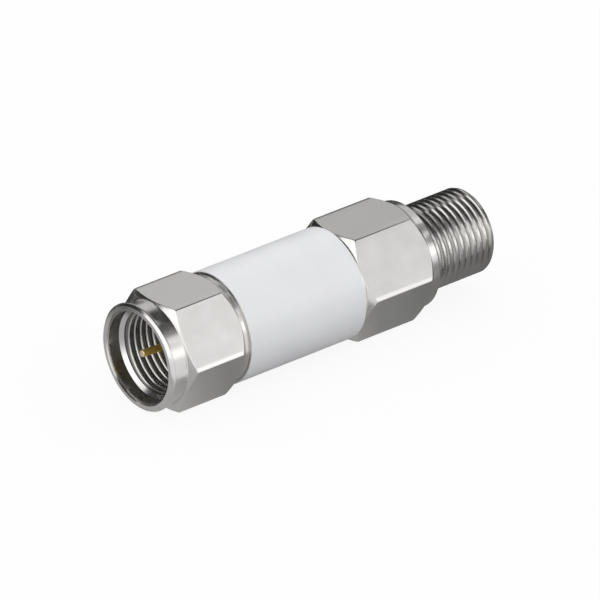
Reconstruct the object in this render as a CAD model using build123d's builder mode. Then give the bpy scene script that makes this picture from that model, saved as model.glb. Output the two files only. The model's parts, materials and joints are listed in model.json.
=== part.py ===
from build123d import *
import os
from math import cos, radians, tan

# Inline aerial amplifier, a slim metal adapter that screws between two coaxial leads.
# The screw plug with its loose six-sided nut is at the -X end and the threaded socket at the +X end.
# Every turned piece shares the X axis. The origin is the middle of the overall box.
# Two flats of each hexagon face up and down, along Z.

os.makedirs("parts", exist_ok=True)

# Screw thread of both ends, a 3/8 inch by 32 turns form with 60 degree flanks
thread_radius = 4.725
thread_pitch = 0.794
thread_flank_angle = 30
thread_depth_share = 0.4
nut_thread_depth_share = 0.48
thread_root_share = 0.12
thread_sink_share = 0.1
crest_relief_share = 0.012

# Hexagons for the spanner, with this much metal between a flat and the nut's thread: 12 mm across flats
hex_wall = 1.2
hex_edge_radius = 0.18

# Clearances and one overrun for every cut
seat_clearance = 0.02
running_clearance = 0.08
side_clearance = 0.05
overrun = 1.0

# Coupling nut
nut_length = 10.25
nut_rim_inset = 0.05
nut_rim_length = 0.45
nut_rim_bevel = 0.36
nut_rim_step = 0.1
nut_collar_inset = 0.2
nut_collar_end = 2.14
nut_front_chamfer = 0.52
nut_rear_collar_inset = 0.05
nut_rear_collar_length = 0.6
nut_edge_break = 0.1
nut_mouth_relief = 0.25
nut_mouth_flare = 0.15
nut_mouth_flare_length = 0.35
nut_mouth_depth = 1.67
nut_lead_in = 0.2
nut_thread_clearance = 0.075
nut_rear_wall = 2.5
nut_float = 0.4
nut_gap = 0.06

# Plug body, on which the nut turns
journal_inset = 0.52
journal_edge = 0.15
ground_face_depth = 7.15
ground_lip = 0.4
ground_lip_length = 0.6
plug_wall = 1.3
plug_insulator_length = 3.9
plug_shank_length = 3.0

# Split ring that keeps the nut on the plug body
ring_thickness = 0.6
ring_sink = 0.5
ring_stand = 0.42
ring_gap = 1.3
ring_setback = 0.9

# Signal pin and the like tail of the socket contact
pin_radius = 0.4
pin_tip_depth = 0.6
pin_tip_round = 0.15
pin_tail_length = 2.4
pin_collar_radius = 0.65

# Housing tube and the label round it
tube_length = 15.57
tube_proud = 0.1
tube_wall = 0.6
tube_edge_break = 0.06
label_thickness = 0.1
label_front_margin = 0.03
label_rear_margin = 0.2
label_seam = 0.25

# Socket body, turned and milled from one bar
spigot_length = 2.77
body_hex_length = 9.08
body_front_chamfer = 0.75
body_collar_inset = 0.03
body_collar_length = 0.95
body_edge_break = 0.1
port_length = 8.65
port_root_land = 0.45
port_tip_land = 0.12
spigot_wall = 0.98
cavity_depth = 9.3
cavity_wall = 0.95
cavity_hole_radius = 2.2
port_wall = 1.0
port_lip = 0.4
port_lip_length = 0.7

# Socket insulators and the sprung contact between them
face_insulator_length = 2.2
face_hole_radius = 0.8
face_funnel_radius = 1.5
face_funnel_depth = 0.8
rear_insulator_length = 2.0
rear_insulator_hub_radius = 2.0
rear_insulator_hub_length = 0.8
contact_radius = 1.15
contact_bore_radius = 0.62
contact_heel = 0.9
contact_stem_radius = 0.7
contact_slot_width = 0.3
contact_slot_length = 4.2
contact_mouth_radius = 0.85
contact_tip_gap = 0.25
contact_tail_length = 3.2

# Circuit board and its copper
board_slot_depth = 0.3
board_thickness = 0.8
board_seat = 1.05
board_slot_clearance = 0.05
copper_thickness = 0.05
pad_margin = 0.25
track_width = 0.9
ground_strip_width = 0.7

# Chip capacitors and resistors
chip_length = 1.6
chip_width = 0.8
capacitor_height = 0.8
resistor_height = 0.45
chip_end_length = 0.32
chip_end_proud = 0.02

# Slope of the sides of a moulded package, in degrees
package_draft = 5

# Amplifying transistors, one for each gain stage
transistor_length = 2.0
transistor_width = 1.3
transistor_height = 0.9
transistor_stand_off = 0.1
transistor_lead_width = 0.35
transistor_lead_reach = 0.45
lead_thickness = 0.13

# Voltage regulator
regulator_length = 4.5
regulator_width = 2.4
regulator_height = 1.5
regulator_lead_width = 0.45
regulator_lead_reach = 0.35
regulator_tab_width = 1.6
regulator_tab_reach = 0.4

# Surge diode
diode_length = 1.7
diode_width = 1.25
diode_height = 0.95
diode_lead_width = 0.35
diode_lead_reach = 0.4

# Tantalum capacitor
tantalum_length = 3.2
tantalum_width = 1.6
tantalum_height = 1.6
tantalum_lead_width = 1.2
tantalum_lead_height = 0.8

# Feed chokes, wound on ferrite bobbins
choke_length = 3.0
choke_width = 2.1
choke_height = 1.8
choke_flange = 0.6
choke_waist_radius = 0.55
choke_wire_radius = 0.09
choke_wire_clearance = 0.02
choke_wire_pitch = 0.23
choke_foot_height = 0.12

# Solder
solder_height = 0.3
solder_wedge = 0.6
solder_wedge_length = 1.8

# Places on the board, as shares of its length from the plug end and of its half width
input_capacitor_share = 0.2
stage_shares = (0.33, 0.59)
interstage_share = 0.46
output_capacitor_share = 0.72
choke_shares = (0.2, 0.78)
bias_resistor_shares = (0.33, 0.59)
bypass_capacitor_share = 0.46
regulator_share = 0.36
tantalum_share = 0.6
surge_diode_share = 0.175
filter_capacitor_share = 0.745
filter_resistor_share = 0.87
side_row_share = 0.64

# Sizes that follow from the ones above
overall_length = (
    nut_length + nut_gap + tube_length + body_hex_length + body_collar_length + port_length
)
thread_depth = thread_depth_share * thread_pitch
port_root_radius = thread_radius - thread_depth
port_bore_radius = port_root_radius - port_wall
port_lip_radius = port_bore_radius - port_lip
nut_major_radius = thread_radius + nut_thread_clearance
nut_thread_depth = nut_thread_depth_share * thread_pitch
nut_minor_radius = nut_major_radius - nut_thread_depth
nut_mouth_radius = nut_major_radius + nut_mouth_relief
hex_apothem = nut_major_radius + hex_wall
hex_corner_radius = hex_apothem / cos(radians(30))
nut_rim_radius = hex_apothem - nut_rim_inset
nut_collar_radius = hex_apothem - nut_collar_inset
nut_rear_collar_radius = hex_apothem - nut_rear_collar_inset
body_collar_radius = hex_apothem - body_collar_inset
journal_radius = nut_minor_radius - journal_inset
plug_bore_radius = journal_radius - plug_wall
ground_lip_radius = plug_bore_radius - ground_lip
ring_inner_radius = journal_radius - ring_sink
ring_outer_radius = journal_radius + ring_stand
tube_outer_radius = hex_apothem + tube_proud
tube_inner_radius = tube_outer_radius - tube_wall
shank_radius = tube_inner_radius - seat_clearance
cavity_radius = shank_radius - spigot_wall
board_width = 2 * (cavity_radius + board_slot_depth)
label_radius = tube_outer_radius + label_thickness

# Places along X, from the nut's front face to the mouth of the socket
nut_front = -overall_length / 2
nut_rear = nut_front + nut_length
nut_hex_front = nut_front + nut_collar_end
nut_rear_chamfer_end = nut_rear - nut_rear_collar_length
ground_face = nut_front + ground_face_depth
ring_groove_rear = nut_rear - ring_setback
tube_front = nut_rear + nut_gap
tube_rear = tube_front + tube_length
plug_insulator_front = ground_face + ground_lip_length
plug_cavity_front = plug_insulator_front + plug_insulator_length
plug_rear = tube_front + plug_shank_length
spigot_front = tube_rear - spigot_length
body_chamfer_end = tube_rear + body_hex_length
port_start = body_chamfer_end + body_collar_length
port_end = port_start + port_length
cavity_end = spigot_front + cavity_depth
rear_insulator_front = cavity_end + cavity_wall
rear_insulator_rear = rear_insulator_front + rear_insulator_length
face_insulator_rear = port_end - port_lip_length
face_insulator_front = face_insulator_rear - face_insulator_length
contact_tip = face_insulator_front - contact_tip_gap
board_front = plug_rear - board_seat
board_rear = cavity_end - board_slot_clearance
board_length = board_rear - board_front
board_top = -pin_radius - copper_thickness
copper_top = -pin_radius
side_row = side_row_share * board_width / 2


def along_board(share):
    return board_front + share * board_length


def turned(*points, mode=Mode.ADD):
    """Turns a closed outline of (x, radius) points about the X axis."""
    with BuildSketch(Plane.XY) as outline:
        with BuildLine():
            Polyline(*points, close=True)
        make_face()
    revolve(outline.sketch, axis=Axis.X, mode=mode)


def hexagon_bar(start, length):
    """A six-sided bar with eased long edges and two flats along Z."""
    with BuildSketch(Plane.YZ.offset(start)) as section:
        RegularPolygon(hex_apothem, 6, major_radius=False)
        fillet(section.vertices(), hex_edge_radius)
    extrude(section.sketch, amount=length)


def thread_helix(start, end, base_radius, height):
    """A helical bar of the thread's form: the ridge of the port, or the groove that is cut in the nut."""
    flank_run = tan(radians(thread_flank_angle))
    sink = height * thread_sink_share
    crest_half = (1 - thread_root_share) * thread_pitch / 2 - height * flank_run
    foot_half = crest_half + (height + sink) * flank_run
    with BuildPart() as ridge:
        with BuildLine() as path:
            Helix(thread_pitch, end - start, base_radius - sink, center=(start, 0, 0), direction=(1, 0, 0))
        foot = path.line @ 0
        outward = Vector(0, foot.Y, foot.Z).normalized()
        with BuildSketch(Plane(origin=foot, x_dir=outward, z_dir=path.line % 0)):
            with BuildLine():
                Polyline(
                    (0, -foot_half),
                    (height + sink, -crest_half),
                    (height + sink, crest_half),
                    (0, foot_half),
                    close=True,
                )
            make_face()
        sweep(path=path.line, is_frenet=True)
    return ridge.part


# Coupling nut: hexagon with a round rim and collar in front, internal thread, bored rear wall
nut_corner_clear = hex_corner_radius + nut_edge_break
nut_front_slope = (hex_corner_radius - nut_collar_radius) / nut_front_chamfer
nut_crown_start = nut_hex_front + (nut_corner_clear - nut_collar_radius) / nut_front_slope
nut_crown_end = nut_rear_chamfer_end - (nut_corner_clear - nut_rear_collar_radius)
nut_bore_radius = journal_radius + running_clearance
nut_wall_front = nut_rear - nut_rear_wall
nut_groove_radius = ring_outer_radius + running_clearance
nut_groove_front = ring_groove_rear - ring_thickness - side_clearance
nut_groove_rear = ring_groove_rear + side_clearance
nut_groove = thread_helix(
    nut_front + nut_mouth_depth - thread_pitch / 2,
    nut_wall_front - thread_pitch / 2,
    nut_minor_radius,
    nut_thread_depth,
)

with BuildPart() as coupling_nut:
    hexagon_bar(nut_front, nut_length)
    turned(
        (nut_front, 0),
        (nut_front, nut_rim_radius - nut_rim_bevel),
        (nut_front + nut_rim_bevel, nut_rim_radius),
        (nut_front + nut_rim_length, nut_rim_radius),
        (nut_front + nut_rim_length + nut_rim_step, nut_collar_radius),
        (nut_hex_front, nut_collar_radius),
        (nut_crown_start, nut_corner_clear),
        (nut_crown_end, nut_corner_clear),
        (nut_rear_chamfer_end, nut_rear_collar_radius),
        (nut_rear - nut_edge_break, nut_rear_collar_radius),
        (nut_rear, nut_rear_collar_radius - nut_edge_break),
        (nut_rear, 0),
        mode=Mode.INTERSECT,
    )
    turned(
        (nut_front - overrun, 0),
        (nut_front - overrun, nut_minor_radius),
        (nut_wall_front, nut_minor_radius),
        (nut_wall_front, nut_bore_radius),
        (nut_groove_front, nut_bore_radius),
        (nut_groove_front, nut_groove_radius),
        (nut_groove_rear, nut_groove_radius),
        (nut_groove_rear, nut_bore_radius),
        (nut_rear + overrun, nut_bore_radius),
        (nut_rear + overrun, 0),
        mode=Mode.SUBTRACT,
    )
    add(nut_groove, mode=Mode.SUBTRACT)
    turned(
        (nut_front - overrun, 0),
        (nut_front - overrun, nut_mouth_radius + nut_mouth_flare),
        (nut_front, nut_mouth_radius + nut_mouth_flare),
        (nut_front + nut_mouth_flare_length, nut_mouth_radius),
        (nut_front + nut_mouth_depth, nut_mouth_radius),
        (nut_front + nut_mouth_depth + nut_lead_in, nut_minor_radius - crest_relief_share * thread_pitch),
        (nut_front + nut_mouth_depth + nut_lead_in, 0),
        mode=Mode.SUBTRACT,
    )
coupling_nut.part.label = "coupling_nut"
export_step(coupling_nut.part, "parts/coupling_nut.step")

# Retaining ring: a split spring ring, half in the nut's groove and half in the plug body's
with BuildPart() as retaining_ring:
    with BuildSketch(Plane.YZ.offset(ring_groove_rear - ring_thickness)):
        Circle(ring_outer_radius)
        Circle(ring_inner_radius, mode=Mode.SUBTRACT)
        with Locations((ring_outer_radius / 2, 0)):
            Rectangle(ring_outer_radius, ring_gap, mode=Mode.SUBTRACT)
    extrude(amount=ring_thickness)
retaining_ring.part.label = "retaining_ring"
export_step(retaining_ring.part, "parts/retaining_ring.step")

# Plug body: the ground face and journal in front, the shank pressed in the tube behind
groove_floor_radius = ring_inner_radius - running_clearance
body_groove_rear = ring_groove_rear + side_clearance
body_groove_front = ring_groove_rear - ring_thickness - nut_float - side_clearance

with BuildPart() as plug_body:
    turned(
        (ground_face, ground_lip_radius),
        (ground_face, journal_radius - journal_edge),
        (ground_face + journal_edge, journal_radius),
        (body_groove_front, journal_radius),
        (body_groove_front, groove_floor_radius),
        (body_groove_rear, groove_floor_radius),
        (body_groove_rear, journal_radius),
        (tube_front, journal_radius),
        (tube_front, shank_radius),
        (plug_rear, shank_radius),
        (plug_rear, cavity_radius),
        (plug_cavity_front, cavity_radius),
        (plug_cavity_front, plug_bore_radius),
        (plug_insulator_front, plug_bore_radius),
        (plug_insulator_front, ground_lip_radius),
    )
    with BuildSketch(Plane.YZ.offset(board_front - board_slot_clearance)):
        with Locations((0, board_top - board_thickness / 2)):
            Rectangle(board_width + 2 * board_slot_clearance, board_thickness + 2 * board_slot_clearance)
    extrude(amount=board_seat + overrun, mode=Mode.SUBTRACT)
plug_body.part.label = "plug_body"
export_step(plug_body.part, "parts/plug_body.step")

# Plug insulator: the plastic bead that carries the pin in the plug body
with BuildPart() as plug_insulator:
    turned(
        (plug_insulator_front, pin_collar_radius + seat_clearance),
        (plug_insulator_front, plug_bore_radius - seat_clearance),
        (plug_cavity_front, plug_bore_radius - seat_clearance),
        (plug_cavity_front, pin_collar_radius + seat_clearance),
    )
plug_insulator.part.label = "plug_insulator"
export_step(plug_insulator.part, "parts/plug_insulator.step")

# Centre pin: a gold coloured pin from the mouth of the nut to its pad, with a collar in the bead
pin_tip = nut_front + pin_tip_depth
pin_tail_end = board_front + pin_tail_length

with BuildPart() as centre_pin:
    with BuildSketch(Plane.YZ.offset(pin_tip)):
        Circle(pin_radius)
    extrude(amount=pin_tail_end - pin_tip)
    fillet(centre_pin.edges().group_by(Axis.X)[0], pin_tip_round)
    with BuildSketch(Plane.YZ.offset(plug_insulator_front)):
        Circle(pin_collar_radius)
    extrude(amount=plug_insulator_length)
centre_pin.part.label = "centre_pin"
export_step(centre_pin.part, "parts/centre_pin.step")

# Housing tube: a plain drawn tube that joins the two end bodies
with BuildPart() as housing_tube:
    turned(
        (tube_front, tube_inner_radius),
        (tube_front, tube_outer_radius - tube_edge_break),
        (tube_front + tube_edge_break, tube_outer_radius),
        (tube_rear, tube_outer_radius),
        (tube_rear, tube_inner_radius),
    )
housing_tube.part.label = "housing_tube"
export_step(housing_tube.part, "parts/housing_tube.step")

# Label: one strip stuck round the tube, its ends meeting at a narrow seam underneath
label_front = tube_front + tube_edge_break + label_front_margin
label_rear = tube_rear - label_rear_margin

with BuildPart() as label:
    with BuildSketch(Plane.YZ.offset(label_front)):
        Circle(label_radius)
        Circle(tube_outer_radius, mode=Mode.SUBTRACT)
        with Locations((0, -label_radius / 2)):
            Rectangle(label_seam, label_radius, mode=Mode.SUBTRACT)
    extrude(amount=label_rear - label_front)
label.part.label = "label"
export_step(label.part, "parts/label.step")

# Socket body: spigot in the tube, large hexagon, round collar and the threaded port
body_corner_clear = hex_corner_radius + body_edge_break
body_front_radius = hex_apothem
body_front_slope = (hex_corner_radius - body_front_radius) / body_front_chamfer
body_crown_start = tube_rear + (body_corner_clear - body_front_radius) / body_front_slope
body_crown_end = body_chamfer_end - (body_corner_clear - body_collar_radius)
port_chamfer = thread_depth
port_tip_start = port_end - port_chamfer - port_tip_land
crest_relief = crest_relief_share * thread_pitch
port_ridge = thread_helix(
    port_start + port_root_land - thread_pitch / 3,
    port_tip_start + port_tip_land / 2,
    port_root_radius,
    thread_depth - crest_relief,
)

with BuildPart() as socket_body:
    hexagon_bar(tube_rear, port_start - tube_rear)
    turned(
        (tube_rear, 0),
        (tube_rear, body_front_radius),
        (body_crown_start, body_corner_clear),
        (body_crown_end, body_corner_clear),
        (body_chamfer_end, body_collar_radius),
        (port_start - body_edge_break, body_collar_radius),
        (port_start, body_collar_radius - body_edge_break),
        (port_start, 0),
        mode=Mode.INTERSECT,
    )
    turned(
        (spigot_front, 0),
        (spigot_front, shank_radius - body_edge_break),
        (spigot_front + body_edge_break, shank_radius),
        (tube_rear, shank_radius),
        (tube_rear, 0),
    )
    turned(
        (port_start, 0),
        (port_start, thread_radius),
        (port_start + port_root_land, thread_radius),
        (port_start + port_root_land, port_root_radius),
        (port_tip_start, port_root_radius),
        (port_tip_start, thread_radius),
        (port_end, thread_radius),
        (port_end, 0),
    )
    add(port_ridge)
    chamfer(socket_body.edges().group_by(Axis.X)[-1], port_chamfer)
    turned(
        (spigot_front - overrun, 0),
        (spigot_front - overrun, cavity_radius),
        (cavity_end, cavity_radius),
        (cavity_end, cavity_hole_radius),
        (rear_insulator_front, cavity_hole_radius),
        (rear_insulator_front, port_bore_radius),
        (face_insulator_rear, port_bore_radius),
        (face_insulator_rear, port_lip_radius),
        (port_end + overrun, port_lip_radius),
        (port_end + overrun, 0),
        mode=Mode.SUBTRACT,
    )
    with BuildSketch(Plane.YZ.offset(cavity_end)):
        with Locations((0, board_top - board_thickness / 2)):
            Rectangle(board_width + 2 * board_slot_clearance, board_thickness + 2 * board_slot_clearance)
    extrude(amount=-(cavity_depth + overrun), mode=Mode.SUBTRACT)
socket_body.part.label = "socket_body"
export_step(socket_body.part, "parts/socket_body.step")

# Face insulator: the plastic disc with the entry hole, held by the rolled lip of the port
with BuildPart() as face_insulator:
    turned(
        (face_insulator_front, face_hole_radius),
        (face_insulator_front, port_bore_radius - seat_clearance),
        (face_insulator_rear, port_bore_radius - seat_clearance),
        (face_insulator_rear, face_funnel_radius),
        (face_insulator_rear - face_funnel_depth, face_hole_radius),
    )
face_insulator.part.label = "face_insulator"
export_step(face_insulator.part, "parts/face_insulator.step")

# Rear insulator: the plastic disc and hub that hold the stem of the contact
with BuildPart() as rear_insulator:
    turned(
        (rear_insulator_front, contact_stem_radius + seat_clearance),
        (rear_insulator_front, port_bore_radius - seat_clearance),
        (rear_insulator_rear - rear_insulator_hub_length, port_bore_radius - seat_clearance),
        (rear_insulator_rear - rear_insulator_hub_length, rear_insulator_hub_radius),
        (rear_insulator_rear, rear_insulator_hub_radius),
        (rear_insulator_rear, contact_stem_radius + seat_clearance),
    )
rear_insulator.part.label = "rear_insulator"
export_step(rear_insulator.part, "parts/rear_insulator.step")

# Socket contact: a slotted sprung barrel, its stem and the tail soldered to the board
with BuildPart() as socket_contact:
    turned(
        (board_rear - contact_tail_length, 0),
        (board_rear - contact_tail_length, pin_radius),
        (rear_insulator_front, pin_radius),
        (rear_insulator_front, contact_stem_radius),
        (rear_insulator_rear, contact_stem_radius),
        (rear_insulator_rear, contact_radius),
        (contact_tip - contact_slot_length, contact_radius),
        (contact_tip, contact_mouth_radius),
        (contact_tip, contact_bore_radius),
        (rear_insulator_rear + contact_heel, contact_bore_radius),
        (rear_insulator_rear + contact_heel, 0),
    )
    with BuildSketch(Plane.YZ.offset(contact_tip)):
        Rectangle(2 * contact_radius + overrun, contact_slot_width)
        Rectangle(contact_slot_width, 2 * contact_radius + overrun)
    extrude(amount=-contact_slot_length, mode=Mode.SUBTRACT)
socket_contact.part.label = "socket_contact"
export_step(socket_contact.part, "parts/socket_contact.step")

# Circuit board: glass fibre strip that lies in the slots of the two end bodies
with BuildPart() as circuit_board:
    with BuildSketch(Plane.XY.offset(board_top)):
        with Locations(((board_front + board_rear) / 2, 0)):
            Rectangle(board_length, board_width)
    extrude(amount=-board_thickness)
circuit_board.part.label = "circuit_board"
export_step(circuit_board.part, "parts/circuit_board.step")

# Chip parts lie along X. Each kind is drawn round the places of its row.
capacitor_places = [
    (along_board(input_capacitor_share), 0),
    (along_board(interstage_share), 0),
    (along_board(output_capacitor_share), 0),
    (along_board(bypass_capacitor_share), side_row),
    (along_board(filter_capacitor_share), -side_row),
]
resistor_places = [(along_board(share), side_row) for share in bias_resistor_shares]
resistor_places.append((along_board(filter_resistor_share), -side_row))
stage_places = [(along_board(share), 0) for share in stage_shares]
choke_places = [(along_board(share), side_row) for share in choke_shares]
regulator_place = (along_board(regulator_share), -side_row)
tantalum_place = (along_board(tantalum_share), -side_row)
diode_place = (along_board(surge_diode_share), -side_row)
contact_pad_start = board_rear - contact_tail_length - pad_margin


def chip_bodies(places, height):
    """The ceramic middles of chip parts, standing just off the copper."""
    with BuildSketch(Plane.XY.offset(copper_top + chip_end_proud)) as middles:
        with Locations(*places):
            Rectangle(chip_length - 2 * chip_end_length, chip_width)
    extrude(middles.sketch, amount=height - 2 * chip_end_proud)


def chip_ends(places, height):
    """The two tinned end caps of each chip part, on the copper."""
    end_step = (chip_length - chip_end_length) / 2
    with BuildSketch(Plane.XY.offset(copper_top)) as caps:
        for x, y in places:
            with Locations((x - end_step, y), (x + end_step, y)):
                Rectangle(chip_end_length, chip_width + 2 * chip_end_proud)
    extrude(caps.sketch, amount=height)


def packages(places, length, width, height, stand_off):
    """Moulded packages, a little narrower at the top."""
    with BuildSketch(Plane.XY.offset(copper_top + stand_off)) as undersides:
        with Locations(*places):
            Rectangle(length, width)
    extrude(undersides.sketch, amount=height - stand_off, taper=package_draft)


def bent_lead(x, y, direction, reach, width, shoulder):
    """One flat lead that leaves a package at y, drops from its shoulder and runs out on the copper."""
    bend = y + direction * reach / 2
    tip = y + direction * reach
    inner = bend + direction * lead_thickness
    with BuildSketch(Plane.YZ.offset(x - width / 2)) as strip:
        with BuildLine():
            Polyline(
                (y, shoulder),
                (inner, shoulder),
                (inner, copper_top + lead_thickness),
                (tip + direction * lead_thickness, copper_top + lead_thickness),
                (tip + direction * lead_thickness, copper_top),
                (bend, copper_top),
                (bend, shoulder - lead_thickness),
                (y, shoulder - lead_thickness),
                close=True,
            )
        make_face()
    extrude(strip.sketch, amount=width)


# Capacitors and resistors, bodies and ends apart because they are different materials
with BuildPart() as chip_capacitor_bodies:
    chip_bodies(capacitor_places, capacitor_height)
chip_capacitor_bodies.part.label = "chip_capacitor_bodies"
export_step(chip_capacitor_bodies.part, "parts/chip_capacitor_bodies.step")

with BuildPart() as chip_capacitor_ends:
    chip_ends(capacitor_places, capacitor_height)
chip_capacitor_ends.part.label = "chip_capacitor_ends"
export_step(chip_capacitor_ends.part, "parts/chip_capacitor_ends.step")

with BuildPart() as chip_resistor_bodies:
    chip_bodies(resistor_places, resistor_height)
chip_resistor_bodies.part.label = "chip_resistor_bodies"
export_step(chip_resistor_bodies.part, "parts/chip_resistor_bodies.step")

with BuildPart() as chip_resistor_ends:
    chip_ends(resistor_places, resistor_height)
chip_resistor_ends.part.label = "chip_resistor_ends"
export_step(chip_resistor_ends.part, "parts/chip_resistor_ends.step")

# Gain transistors, with two leads on each long side
transistor_shoulder = copper_top + transistor_height / 2
with BuildPart() as gain_transistors:
    packages(
        stage_places, transistor_length, transistor_width, transistor_height, transistor_stand_off
    )
gain_transistors.part.label = "gain_transistors"
export_step(gain_transistors.part, "parts/gain_transistors.step")

with BuildPart() as gain_transistor_leads:
    lead_step = (transistor_length - transistor_lead_width) / 2 - lead_thickness
    for x, y in stage_places:
        for side in (-1, 1):
            for end in (-1, 1):
                bent_lead(
                    x + end * lead_step,
                    y + side * transistor_width / 2,
                    side,
                    transistor_lead_reach,
                    transistor_lead_width,
                    transistor_shoulder,
                )
gain_transistor_leads.part.label = "gain_transistor_leads"
export_step(gain_transistor_leads.part, "parts/gain_transistor_leads.step")

# Voltage regulator, with three leads towards the signal row and a cooling tab behind
with BuildPart() as voltage_regulator:
    packages([regulator_place], regulator_length, regulator_width, regulator_height, lead_thickness)
voltage_regulator.part.label = "voltage_regulator"
export_step(voltage_regulator.part, "parts/voltage_regulator.step")

with BuildPart() as regulator_leads:
    x, y = regulator_place
    lead_pitch = (regulator_length - regulator_lead_width) / 2 - lead_thickness
    with BuildSketch(Plane.XY.offset(copper_top)):
        with Locations(*[(x + step * lead_pitch, y + regulator_width / 2) for step in (-1, 0, 1)]):
            Rectangle(regulator_lead_width, 2 * regulator_lead_reach)
        with Locations((x, y - regulator_width / 2)):
            Rectangle(regulator_tab_width, 2 * regulator_tab_reach)
    extrude(amount=lead_thickness)
regulator_leads.part.label = "regulator_leads"
export_step(regulator_leads.part, "parts/regulator_leads.step")

# Surge diode across the supply, its two leads lying along X
with BuildPart() as surge_diode:
    packages([diode_place], diode_length, diode_width, diode_height, lead_thickness)
surge_diode.part.label = "surge_diode"
export_step(surge_diode.part, "parts/surge_diode.step")

with BuildPart() as surge_diode_leads:
    x, y = diode_place
    with BuildSketch(Plane.XY.offset(copper_top)):
        with Locations((x - diode_length / 2, y), (x + diode_length / 2, y)):
            Rectangle(2 * diode_lead_reach, diode_lead_width)
    extrude(amount=lead_thickness)
surge_diode_leads.part.label = "surge_diode_leads"
export_step(surge_diode_leads.part, "parts/surge_diode_leads.step")

# Tantalum capacitor with a folded foot at each end
with BuildPart() as tantalum_capacitor:
    packages([tantalum_place], tantalum_length, tantalum_width, tantalum_height, lead_thickness)
tantalum_capacitor.part.label = "tantalum_capacitor"
export_step(tantalum_capacitor.part, "parts/tantalum_capacitor.step")

with BuildPart() as tantalum_leads:
    x, y = tantalum_place
    for end in (-1, 1):
        outer = x + end * (tantalum_length / 2 + lead_thickness)
        face = x + end * tantalum_length / 2
        under = x + end * (tantalum_length / 2 - tantalum_lead_height)
        with BuildSketch(Plane.XZ.offset(-y - tantalum_lead_width / 2)):
            with BuildLine():
                Polyline(
                    (under, copper_top),
                    (outer, copper_top),
                    (outer, copper_top + tantalum_lead_height),
                    (face, copper_top + tantalum_lead_height),
                    (face, copper_top + lead_thickness),
                    (under, copper_top + lead_thickness),
                    close=True,
                )
            make_face()
        extrude(amount=tantalum_lead_width)
tantalum_leads.part.label = "tantalum_leads"
export_step(tantalum_leads.part, "parts/tantalum_leads.step")

# Feed chokes: a ferrite bobbin lying along X, its winding and the tinned feet under its flanges
choke_seat = copper_top + choke_foot_height
choke_axis = choke_seat + choke_height / 2
flange_step = (choke_length - choke_flange) / 2

with BuildPart() as choke_cores:
    for x, y in choke_places:
        for end in (-1, 1):
            with BuildSketch(Plane.YZ.offset(x + end * flange_step - choke_flange / 2)):
                with Locations((y, choke_axis)):
                    Rectangle(choke_width, choke_height)
            extrude(amount=choke_flange)
        with BuildSketch(Plane.YZ.offset(x - choke_length / 2)):
            with Locations((y, choke_axis)):
                Circle(choke_waist_radius)
        extrude(amount=choke_length)
choke_cores.part.label = "choke_cores"
export_step(choke_cores.part, "parts/choke_cores.step")

choke_coil_radius = choke_waist_radius + choke_wire_clearance + choke_wire_radius
choke_window = choke_length - 2 * choke_flange
choke_coil_length = choke_window - 2 * (choke_wire_radius + choke_wire_clearance)
choke_turns = int(choke_coil_length / choke_wire_pitch)

with BuildPart() as choke_windings:
    for x, y in choke_places:
        start = x - choke_turns * choke_wire_pitch / 2
        with BuildLine() as coil:
            Helix(
                choke_wire_pitch,
                choke_turns * choke_wire_pitch,
                choke_coil_radius,
                center=(start, y, choke_axis),
                direction=(1, 0, 0),
            )
        with BuildSketch(Plane(origin=coil.line @ 0, z_dir=coil.line % 0)):
            Circle(choke_wire_radius)
        sweep(path=coil.line, is_frenet=True)
choke_windings.part.label = "choke_windings"
export_step(choke_windings.part, "parts/choke_windings.step")

with BuildPart() as choke_feet:
    with BuildSketch(Plane.XY.offset(copper_top)):
        for x, y in choke_places:
            with Locations((x - flange_step, y), (x + flange_step, y)):
                Rectangle(choke_flange, choke_width)
    extrude(amount=choke_foot_height)
choke_feet.part.label = "choke_feet"
export_step(choke_feet.part, "parts/choke_feet.step")

# Copper: signal line, pads under the side rows and a ground strip along each edge of the board
with BuildPart() as copper_tracks:
    with BuildSketch(Plane.XY.offset(board_top)) as copper:
        signal_breaks = sorted(
            [along_board(share) for share in stage_shares]
            + [place[0] for place in capacitor_places if place[1] == 0]
        )
        signal_ends = [board_front] + signal_breaks + [board_rear]
        for left, right in zip(signal_ends[:-1], signal_ends[1:]):
            from_x = left + (chip_end_length if left > board_front else 0)
            to_x = right - (chip_end_length if right < board_rear else 0)
            with Locations(((from_x + to_x) / 2, 0)):
                Rectangle(to_x - from_x, track_width)
        for side in (-1, 1):
            for x, y in stage_places:
                lead_end = y + side * (transistor_width / 2 + transistor_lead_reach)
                with Locations((x, lead_end)):
                    Rectangle(transistor_length, 2 * pad_margin)
            with Locations(
                ((plug_rear + board_rear) / 2, side * (board_width - ground_strip_width) / 2)
            ):
                Rectangle(board_rear - plug_rear - 2 * pad_margin, ground_strip_width)
        for x, y in choke_places:
            with Locations((x - flange_step, y), (x + flange_step, y)):
                Rectangle(choke_flange + pad_margin, choke_width)
        side_chips = [place for place in capacitor_places + resistor_places if place[1] != 0]
        for x, y in side_chips:
            end_step = (chip_length - chip_end_length) / 2
            with Locations((x - end_step, y), (x + end_step, y)):
                Rectangle(chip_end_length + pad_margin, chip_width + pad_margin)
        for place, length, reach, width in (
            (diode_place, diode_length, diode_lead_reach, diode_lead_width),
            (tantalum_place, tantalum_length, lead_thickness, tantalum_lead_width),
        ):
            x, y = place
            with Locations((x - length / 2, y), (x + length / 2, y)):
                Rectangle(2 * (reach + pad_margin), width + pad_margin)
        x, y = regulator_place
        with Locations((x, y - regulator_width / 2)):
            Rectangle(regulator_tab_width + pad_margin, 2 * regulator_tab_reach)
        with Locations(*[(x + step * lead_pitch, y + regulator_width / 2) for step in (-1, 0, 1)]):
            Rectangle(regulator_lead_width + pad_margin, 2 * regulator_lead_reach)
    extrude(amount=copper_thickness)
copper_tracks.part.label = "copper_tracks"
export_step(copper_tracks.part, "parts/copper_tracks.step")

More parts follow.
